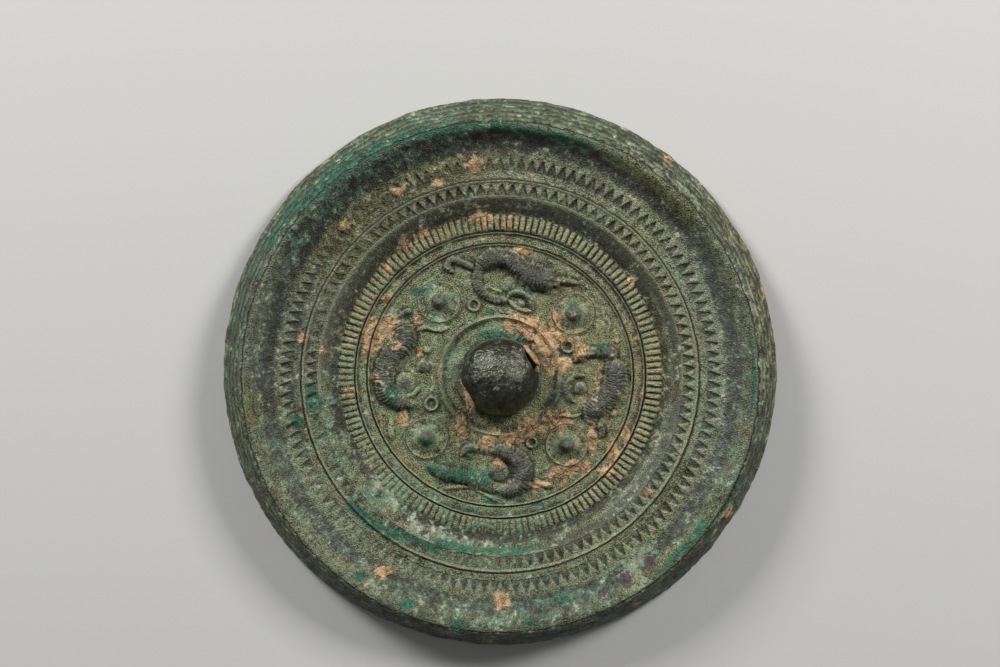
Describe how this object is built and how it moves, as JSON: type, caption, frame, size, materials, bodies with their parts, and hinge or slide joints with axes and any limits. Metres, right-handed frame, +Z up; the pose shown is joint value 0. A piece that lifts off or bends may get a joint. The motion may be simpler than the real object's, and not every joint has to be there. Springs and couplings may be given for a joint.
{
  "type": "ancient bronze mirror",
  "caption": "Round cast-bronze mirror lying on its gently convex face, with a pierced domed knob, beasts in relief, toothed bands and a raised rim.",
  "frame": {"origin": "middle of the flat spot on the convex face that the disc rests on", "axes": "+Z up out of the decorated back, +X along the cord hole through the knob"},
  "size_m": [0.12, 0.12, 0.0118],
  "materials": {
    "patinated_bronze": "corroded, grey-green patina with dark worn relief, malachite and soil"
  },
  "bodies": {
    "root": {"mirror": "patinated_bronze"}
  },
  "joints": []
}
